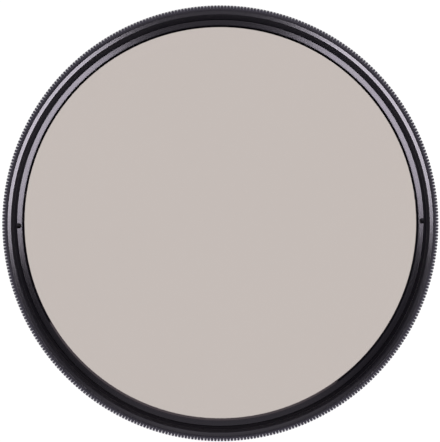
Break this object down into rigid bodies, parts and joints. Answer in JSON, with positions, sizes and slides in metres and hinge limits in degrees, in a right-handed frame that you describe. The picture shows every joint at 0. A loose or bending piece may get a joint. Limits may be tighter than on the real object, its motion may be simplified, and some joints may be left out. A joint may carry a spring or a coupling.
{
  "type": "screw-in lens filter",
  "caption": "Round screw-in camera lens filter: knurled black metal ring with a male rear thread and a female front thread, holding a flat tinted glass disc under a notched retaining ring.",
  "frame": {"origin": "on the optical axis, at the rear end of the male thread", "axes": "+Z along the optical axis towards the front of the filter, +X to the right and +Y up when looking at the front"},
  "size_m": [0.0804, 0.0804, 0.0065],
  "materials": {
    "black_anodised_aluminium": "turned and anodised black, semi-matt",
    "tinted_glass": "polished, warm grey tint, coated"
  },
  "bodies": {
    "root": {"filter_frame": "black_anodised_aluminium", "filter_glass": "tinted_glass", "retaining_ring": "black_anodised_aluminium"}
  },
  "joints": []
}
